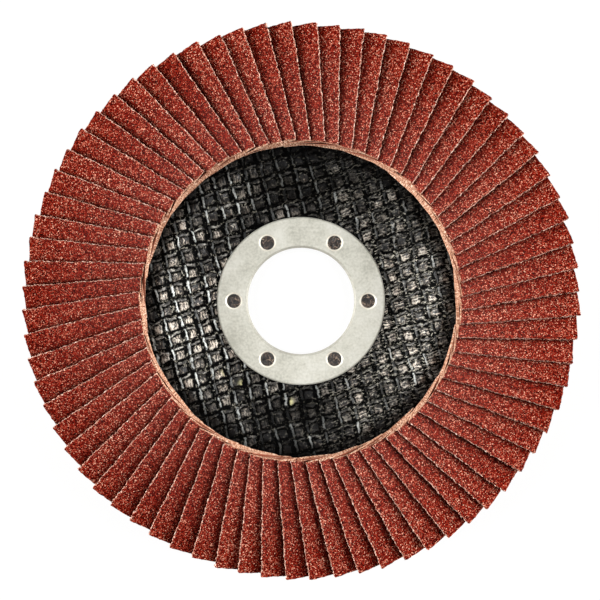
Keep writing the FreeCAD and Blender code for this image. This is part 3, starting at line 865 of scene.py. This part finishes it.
print("plugs:", HOLE_COUNT, "on a circle of radius mm:", round(float(PLUG_CIRCLE), 2))


# %% How much of the weave shows, with painted light and shade
# Toward the adhesive the yarns are painted fading out, as painted shade of the wall of flaps, and the back
# shows less of them than the front
FADE_END, FADE_WIDTH, FADE_LEAST = 32.0, 3.5, 0.1
BACK_SHOWN = 0.45
# How much shows at the top and the bottom, in painted shade, and the spread of the painted light on the two
# sides
PAINTED_SHADE_SHOWN = 0.30
SIDE_LIGHT_REACH, SIDE_LIGHT_RIGHT_TILT, SIDE_LIGHT_LEFT_TILT, SIDE_LIGHT_POWER = 0.98, 0.19, 0.03, 2.2
CLOUD_SWING = 0.25
# Where the weave shows least, only the pillows that stand highest come through
TALL_WEIGHT, TALL_REACH, TALL_EDGE = 0.3, 1.2, 0.35
BURIED_WIDTH = 12
# Where the flecks of glue lie, and how much of each shows
FLECKS = [(-12.0, -17.3, 1.0), (-2.4, -21.1, 0.85), (-15.8, -14.8, 0.5)]
FLECK_MM = 0.7


def yarn_share_with_painted_light(x, y, radius, front, pillow_dice):
    """How much of the yarns shows, from 0 to 1: painted shade toward the bed x painted side light x clouds.
    """
    # Painted light: the yarns show most on the left and right sides, as the side lamps would light them, and
    # less at the top and the bottom, in painted shade
    tilt = np.where(x > 0, SIDE_LIGHT_RIGHT_TILT, SIDE_LIGHT_LEFT_TILT)
    painted_side_light = np.clip((SIDE_LIGHT_REACH * np.abs(x) - tilt * y) / radius, 0, 1) ** SIDE_LIGHT_POWER
    # Painted shade: the yarns fade toward the wall of flaps
    bare = np.clip((FADE_END - radius) / FADE_WIDTH, FADE_LEAST, 1) * np.where(front, 1.0, BACK_SHOWN)
    clouds = np.sin(x / 3.1 + 1.7 * np.sin(y / 4.3)) * np.sin(y / 2.7 + 1.3 * np.sin(x / 3.9))
    bare = np.clip(bare * (PAINTED_SHADE_SHOWN + (1 - PAINTED_SHADE_SHOWN) * painted_side_light) * (1 + CLOUD_SWING * clouds), 0, 1)
    tallest = np.clip((pillow_dice - 1 + TALL_REACH * bare) / TALL_EDGE, 0, 1)
    return (1 - TALL_WEIGHT) * bare + TALL_WEIGHT * tallest * (bare > 0.03)


def glue_flecks(x, y):
    """The sum over the flecks of share x exp(-(distance / fleck size)^2)."""
    return sum(share * np.exp(-((x - fleck_x) ** 2 + (y - fleck_y) ** 2) / FLECK_MM ** 2)
               for fleck_x, fleck_y, share in FLECKS)


print("flecks of glue:", len(FLECKS))


# %% Turn the section and raise the weave
AROUND = 640
# The weave rises beyond the ring, ends before the bed, and half sinks into the skin
RELIEF_GAP, RELIEF_RISE = 0.15, 0.6
RELIEF_END, RELIEF_FALL = 33.5, 0.8
RELIEF_SINK = 0.55


def make_plate():
    """Point = section turned by an angle, moved square to the surface by the weave's height."""
    ahead = np.roll(section, -1, axis=0) - np.roll(section, 1, axis=0)
    normal = np.stack([ahead[:, 1], -ahead[:, 0]], axis=1)
    normal /= np.linalg.norm(normal, axis=1)[:, None]
    front = normal[:, 1] > 0.5
    angle = np.linspace(0, 2 * math.pi, AROUND, endpoint=False)[:, None]
    distance = section[:, 0]
    x, y = distance * np.cos(angle), distance * np.sin(angle)
    beyond_ring = np.clip((distance - RING_RADIUS - RELIEF_GAP) / RELIEF_RISE, 0, 1)
    before_bed = np.clip((RELIEF_END - distance) / RELIEF_FALL, 0, 1)
    depth = (weave_height(x, y) - YARN_HEIGHT * RELIEF_SINK) * front * beyond_ring * before_bed
    radius = distance + normal[:, 0] * depth
    height = section[:, 1] + normal[:, 1] * depth
    points = np.stack([radius * np.cos(angle), radius * np.sin(angle), height], axis=-1).reshape(-1, 3)
    faces = loop_faces(AROUND, len(section), close_rows=True).reshape(-1, 4).tolist()
    kinds = [0] * len(faces)
    rng = np.random.default_rng(3)
    for hole in range(HOLE_COUNT):
        plug_points, plug_faces = plug_surface(2 * math.pi * hole / HOLE_COUNT, rng)
        faces += [[corner + len(points) for corner in face] for face in plug_faces]
        kinds += [1] * len(plug_faces)
        points = np.concatenate([points, plug_points])
    piece = mesh_object("backing_plate_woven", points, faces, [plate_resin, plug_resin], kinds, smooth=True)
    # The points of the plugs come last and have no weave
    extra = len(points) - x.size
    cell_u, cell_v = weave_cells(x, y)
    dice_at = cell_dice(cell_u, cell_v)
    for name, values in (("weave_cell", np.stack([cell_u, cell_v, np.zeros_like(cell_u)], axis=-1)),
                         ("weave_dice", dice_at[..., :3]),
                         ("weave_shown_with_painted_light", yarn_share_with_painted_light(x, y, distance, front, dice_at[..., 3])),
                         ("glue_fleck", glue_flecks(x, y)),
                         ("bars_buried", np.clip(0.5 + x / BURIED_WIDTH, 0, 1))):
        values = values.reshape(x.size, -1)
        point_data(piece, name, np.concatenate([values, np.zeros((extra, values.shape[1]))]))
    return piece


plate = make_plate()
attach(plate, "root")
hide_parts("backing_plate")
print("plate triangles:", sum(len(p.vertices) - 2 for p in plate.data.polygons))

# %% [markdown]
# ## The steel ring and the adhesive
#
# The ring is stamped from sheet steel and plated with zinc, which gives a pale satin grey with a faint warm
# cast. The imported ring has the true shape, so it only gets its finish. The adhesive is a dark cured resin.

# %% Zinc plate and adhesive
BORE_RADIUS = 22.23 / 2


def ring_distances(tree, place):
    """The distances from the axis and from the nearest hole: angles are folded so that all holes are one."""
    flat = split(tree, place)
    level = add_node(tree, "ShaderNodeCombineXYZ", {"X": flat["X"], "Y": flat["Y"]}).outputs[0]
    radius = add_node(tree, "ShaderNodeVectorMath", {0: level}, operation="LENGTH").outputs["Value"]
    angle = calc(tree, "PINGPONG", calc(tree, "ARCTAN2", flat["Y"], flat["X"]), math.pi / HOLE_COUNT)
    along = total(tree, times(tree, radius, calc(tree, "COSINE", angle)), -PLUG_CIRCLE * MM)
    beside = times(tree, radius, calc(tree, "SINE", angle))
    away = calc(tree, "SQRT", total(tree, calc(tree, "POWER", along, 2.0), calc(tree, "POWER", beside, 2.0)))
    return radius, away


def make_zinc_material():
    """Pale clouds and fine spots on the zinc, with a painted highlight round each hole, where the press drew
    its edge in.
    """
    material, tree, output = new_material("zinc_plated_steel")
    place = object_place(tree)
    clouds = noise(tree, place, 1 / (5 * MM), 5.0, 0.6)["Fac"]
    spots = noise(tree, place, 1 / (0.5 * MM), 3.0)["Fac"]
    colour = ramp(tree, total(tree, (clouds, 0.6), (spots, 0.4)), [
        (0.36, "#ADACA0"), (0.50, "#C6C5B9"), (0.64, "#D4D3C9")])
    radius, away = ring_distances(tree, place)
    # Painted highlight: a pale band round each hole, where the edge drawn in by the press would catch the
    # light
    painted_rim_highlight = soft_band(tree, away, (PLUG_RADIUS + 0.2) * MM, 0.10 * MM, 0.10 * MM)
    colour = mix_colour(tree, times(tree, painted_rim_highlight, 0.85), colour, "#F8F3E4")
    # Painted shade on the chamfer of the bore, darker at its edge
    painted_bore_shade = soft_band(tree, radius, BORE_RADIUS * MM, 0.35 * MM, 0.15 * MM)
    colour = mix_colour(tree, times(tree, painted_bore_shade, 0.35), colour, "#6E6A60")
    cover(tree, output, colour, spots, 0.15, 0.05, Metallic=0.35, Roughness=0.5)
    return material


def make_adhesive_material():
    """Brown cured resin with soft lumps."""
    material, tree, output = new_material("cured_dark_adhesive")
    lumps = noise(tree, object_place(tree), 1 / (1.2 * MM), 3.0)["Fac"]
    colour = ramp(tree, lumps, [(0.3, "#2A1D14"), (0.7, "#4A3524")])
    cover(tree, output, colour, lumps, 0.4, 0.2, Roughness=0.5)
    return material


for node_name, finish in (("centre_ring", make_zinc_material()), ("adhesive_bed", make_adhesive_material())):
    node_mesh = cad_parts[node_name].data
    if not node_mesh.materials:
        node_mesh.materials.append(finish)
    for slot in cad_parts[node_name].material_slots:
        slot.material = finish
    print(node_name, "has", finish.name)

# %% [markdown]
# ## Floor, light and camera
#
# A plain white floor and three soft lamps light the disc as in a product picture: one on either side and a
# weaker one at the top. The floor shows white to the camera but keeps a trace of the shadow, and beyond it
# the camera sees a white room. The camera looks straight down.

# %% Floor
FLOOR_HALF_MM, FLOOR_DROP_MM = 900.0, 0.02
FLOOR_GLOW = 0.9


def make_floor():
    """A square of paper just under the disc, which glows white for the camera alone."""
    corners = ((-1, -1), (1, -1), (1, 1), (-1, 1))
    points = [(x * FLOOR_HALF_MM, y * FLOOR_HALF_MM, -FLOOR_DROP_MM) for x, y in corners]
    material, tree, output = new_material("white_paper_floor")
    glow = add_node(tree, "ShaderNodeEmission", {"Color": (1, 1, 1, 1), "Strength": 1.0})
    paper = add_node(tree, "ShaderNodeBsdfPrincipled", {"Base Color": linear("#F2F2F0"), "Roughness": 0.9})
    seen = add_node(tree, "ShaderNodeLightPath").outputs["Is Camera Ray"]
    mix = add_node(tree, "ShaderNodeMixShader", {
        0: times(tree, seen, FLOOR_GLOW), 1: paper.outputs[0], 2: glow.outputs[0]})
    tree.links.new(mix.outputs[0], output.inputs["Surface"])
    floor = mesh_object("paper_floor", points, [[0, 1, 2, 3]], [material])
    return floor


floor = make_floor()
print("floor:", floor.name)

# %% Lamps
AIM = (0, 0, 0.01)


def soft_lamp(name, place, size, watts):
    """A rectangular area lamp that looks from its place to the disc."""
    data = bpy.data.lights.new(name, "AREA")
    data.shape = "RECTANGLE"
    data.size, data.size_y = size
    data.energy = watts
    lamp = bpy.data.objects.new(name, data)
    lamp.location = place
    lamp.rotation_euler = (Vector(AIM) - Vector(place)).to_track_quat("-Z", "Y").to_euler()
    bpy.context.scene.collection.objects.link(lamp)
    return lamp


lamps = [soft_lamp("softbox_left", (-0.72, 0.02, 0.42), (0.7, 0.6), 14),
         soft_lamp("softbox_right", (0.72, 0.02, 0.42), (0.7, 0.6), 14),
         soft_lamp("softbox_top", (0.0, 0.75, 0.25), (0.9, 0.3), 3)]
print("lamps:", [lamp.name for lamp in lamps])

# %% World
# The camera sees a white room beyond the paper, while the disc gets only a faint light from it
ROOM_LIGHT, ROOM_SEEN = 0.07, 1.0
world = bpy.data.worlds.new("studio")
bpy.context.scene.world = world
world.use_nodes = True
room = world.node_tree.nodes["Background"]
room.inputs["Color"].default_value = (1, 1, 1, 1)
camera_ray = add_node(world.node_tree, "ShaderNodeLightPath").outputs["Is Camera Ray"]
room_strength = map_range(world.node_tree, camera_ray, 0.0, 1.0, ROOM_LIGHT, ROOM_SEEN)
world.node_tree.links.new(room_strength, room.inputs["Strength"])
print("world:", world.name)

# %% Camera
SHOWN_MM = 123.5
CAMERA_HEIGHT = 0.62
FLAP_PLANE = 0.010
# The photograph's disc lies this far off the middle of the picture
CAMERA_SHIFT = (-0.0002, 0.0002)
camera_data = bpy.data.cameras.new("overhead")
camera_data.lens = camera_data.sensor_width * (CAMERA_HEIGHT - FLAP_PLANE) / (SHOWN_MM * MM)
camera = bpy.data.objects.new("overhead", camera_data)
camera.location = (*CAMERA_SHIFT, CAMERA_HEIGHT)
bpy.context.scene.collection.objects.link(camera)
bpy.context.scene.camera = camera
bpy.context.scene.view_settings.view_transform = "Standard"
print("lens mm:", round(camera_data.lens, 1))
